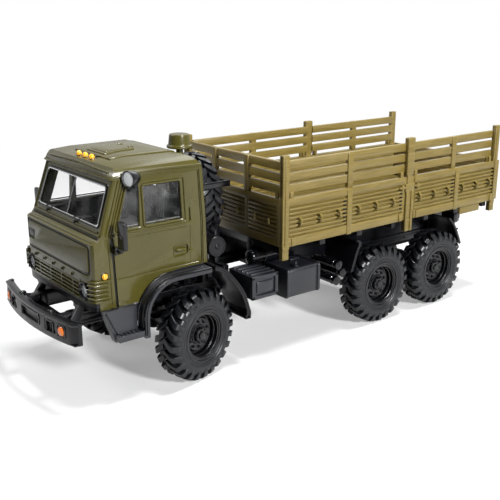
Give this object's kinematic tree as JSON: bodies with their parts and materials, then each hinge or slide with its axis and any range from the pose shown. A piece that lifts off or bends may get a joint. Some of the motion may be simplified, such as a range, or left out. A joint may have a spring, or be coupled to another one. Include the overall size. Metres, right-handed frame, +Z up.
{
  "type": "military cargo truck",
  "caption": "Scale model of a cab-over military cargo truck: tilting cab, slatted load bed with a drop tailgate, steered front wheels and a tandem rear bogie on a ladder frame.",
  "frame": {"origin": "on the ground under the middle of the overall box", "axes": "+X to the front of the truck, +Y to its left, +Z up"},
  "size_m": [0.1856, 0.0614, 0.0723],
  "materials": {
    "cab_paint": "semi-gloss olive drab",
    "bed_paint": "satin brownish olive",
    "black_plastic": "satin black moulded plastic",
    "tyre": "matt dark rubber",
    "steel": "plain drawn steel",
    "amber_lens": "glossy amber",
    "lamp_lens": "clear fluted lens",
    "clear_glazing": "clear glossy insert"
  },
  "bodies": {
    "chassis": {"frame_rails": "black_plastic", "front_bumper": "black_plastic", "bumper_lamps": "amber_lens", "engine_block": "black_plastic", "transfer_case": "black_plastic", "front_axle_beam": "black_plastic", "axle_housings": "black_plastic", "leaf_springs": "black_plastic", "drive_shafts": "steel", "battery_box": "black_plastic", "fuel_tank": "black_plastic", "air_tanks": "black_plastic", "air_cleaner": "black_plastic", "silencer": "black_plastic", "air_intake": "cab_paint", "cab_rest": "black_plastic", "spare_carrier": "black_plastic", "spare_tyre": "tyre", "spare_rim": "black_plastic", "mudguards": "black_plastic", "tail_lamps": "black_plastic", "toolbox": "bed_paint", "bed_floor": "bed_paint", "bed_bearers": "bed_paint", "side_boards": "bed_paint", "front_board": "bed_paint", "racks": "bed_paint"},
    "cab": {"cab_shell": "cab_paint", "cab_floor": "black_plastic", "front_valance": "black_plastic", "cab_fenders": "black_plastic", "windscreen": "clear_glazing", "cab_windows": "clear_glazing", "headlamps": "lamp_lens", "marker_lamps": "amber_lens", "searchlight": "black_plastic", "mirrors": "black_plastic", "dashboard": "black_plastic", "seats": "black_plastic", "steering_wheel": "black_plastic"},
    "tailgate": {"tailgate": "bed_paint"},
    "knuckle_left": {"knuckle_left": "black_plastic"},
    "knuckle_right": {"knuckle_right": "black_plastic"},
    "tie_rod": {"tie_rod": "steel"},
    "wheel_front_left": {"tyre_front_left": "tyre", "rim_front_left": "black_plastic"},
    "wheel_front_right": {"tyre_front_right": "tyre", "rim_front_right": "black_plastic"},
    "wheelset_middle": {"tyres_middle": "tyre", "rims_middle": "black_plastic", "middle_axle_rod": "steel"},
    "wheelset_rear": {"tyres_rear": "tyre", "rims_rear": "black_plastic", "rear_axle_rod": "steel"}
  },
  "joints": [
    {"name": "cab_tilt", "type": "hinge", "parent": "chassis", "child": "cab", "pos_m": [0.08455, 0, 0.0233], "axis": [0, 1, 0], "range_deg": [0, 45]},
    {"name": "tailgate_drop", "type": "hinge", "parent": "chassis", "child": "tailgate", "pos_m": [-0.09185, 0, 0.0354], "axis": [0, -1, 0], "range_deg": [0, 150]},
    {"name": "steer_left", "type": "hinge", "parent": "chassis", "child": "knuckle_left", "pos_m": [0.05165, 0.0168, 0.0142], "axis": [0, 0, 1], "range_deg": [-30, 2]},
    {"name": "steer_right", "type": "hinge", "parent": "chassis", "child": "knuckle_right", "pos_m": [0.05165, -0.0168, 0.0142], "axis": [0, 0, 1], "range_deg": [-30, 2]},
    {"name": "tie_rod_swing", "type": "hinge", "parent": "knuckle_left", "child": "tie_rod", "pos_m": [0.04486, 0.01511, 0.0142], "axis": [0, 0, 1], "range_deg": [-2, 30]},
    {"name": "spin_front_left", "type": "hinge", "parent": "knuckle_left", "child": "wheel_front_left", "pos_m": [0.04996, 0.02359, 0.0142], "axis": [-0.2419, 0.9703, 0], "continuous": true},
    {"name": "spin_front_right", "type": "hinge", "parent": "knuckle_right", "child": "wheel_front_right", "pos_m": [0.05334, -0.02359, 0.0142], "axis": [-0.2419, 0.9703, 0], "continuous": true},
    {"name": "spin_middle", "type": "hinge", "parent": "chassis", "child": "wheelset_middle", "pos_m": [-0.02815, 0, 0.0142], "axis": [0, 1, 0], "continuous": true},
    {"name": "spin_rear", "type": "hinge", "parent": "chassis", "child": "wheelset_rear", "pos_m": [-0.05935, 0, 0.0142], "axis": [0, 1, 0], "continuous": true}
  ],
  "couplings": [
    {"joint": "steer_right", "follows": "steer_left", "ratio": 1},
    {"joint": "tie_rod_swing", "follows": "steer_left", "ratio": -1}
  ]
}
